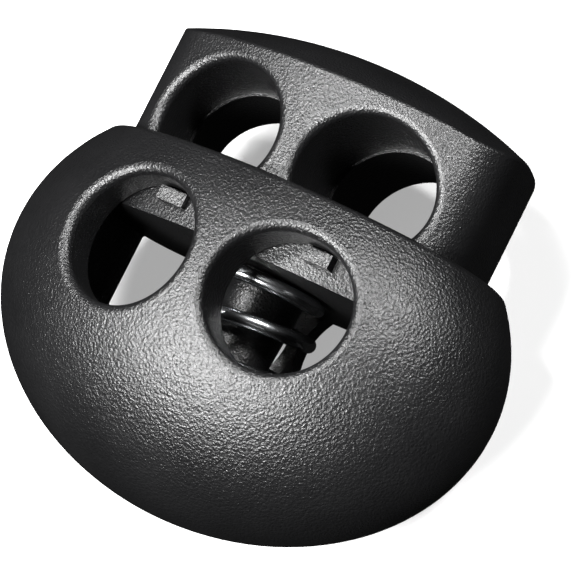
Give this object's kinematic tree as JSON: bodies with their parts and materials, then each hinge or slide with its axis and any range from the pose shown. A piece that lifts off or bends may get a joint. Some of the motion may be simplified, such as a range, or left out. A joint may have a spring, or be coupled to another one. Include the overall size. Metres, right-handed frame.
{
  "type": "cord lock",
  "caption": "Sprung two-hole cord lock: pressing the domed plunger into the bean-shaped body lines up the cord holes; letting go grips the cords.",
  "frame": {"origin": "on the flat back face, midway between the body's two cord holes", "axes": "+X across the two cord holes, +Y the way the plunger comes out, +Z out of the front face along the cord holes"},
  "size_m": [0.0218, 0.0199, 0.0125],
  "materials": {
    "body_plastic": "fine spark-eroded grain, satin black",
    "plunger_plastic": "fine spark-eroded grain, satin black",
    "spring_steel": "bright drawn spring wire"
  },
  "bodies": {
    "body": {"body": "body_plastic", "spring": "spring_steel"},
    "plunger": {"plunger": "plunger_plastic"}
  },
  "joints": [
    {"name": "plunger_slide", "type": "slide", "parent": "body", "child": "plunger", "axis": [0, -1, 0], "range_m": [0, 0.0046], "stiffness_N_per_m": 900, "springref_m": -0.004, "deforming": ["spring"]}
  ]
}
